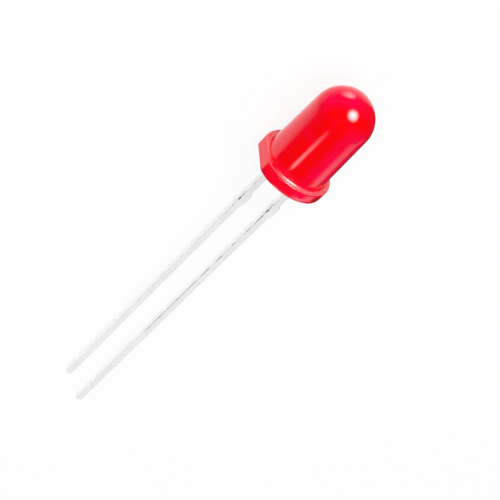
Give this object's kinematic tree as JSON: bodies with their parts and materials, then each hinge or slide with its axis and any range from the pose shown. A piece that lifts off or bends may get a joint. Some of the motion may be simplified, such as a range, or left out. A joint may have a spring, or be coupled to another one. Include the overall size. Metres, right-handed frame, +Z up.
{
  "type": "through hole led",
  "caption": "Round light-emitting diode with a diffused red domed lens, a flange with a flat, and two long straight leads for a circuit board.",
  "frame": {"origin": "on the ground, under the middle of the LED's box as it lies loose on its flange's rim and both lead ends", "axes": "+X from the lead ends towards the dome, +Y towards the cathode lead and the flat, +Z up; the optical axis rises 5.3 degrees from +X"},
  "size_m": [0.039, 0.0058, 0.0061],
  "materials": {
    "red_epoxy": "gloss",
    "tinned_lead": "satin",
    "die": "satin",
    "silver_epoxy": "matte",
    "gold_wire": "polished"
  },
  "bodies": {
    "root": {"lens_body": "red_epoxy", "cathode_lead": "tinned_lead", "anode_lead": "tinned_lead", "led_die": "die", "die_attach": "silver_epoxy", "bond_wire": "gold_wire"}
  },
  "joints": []
}
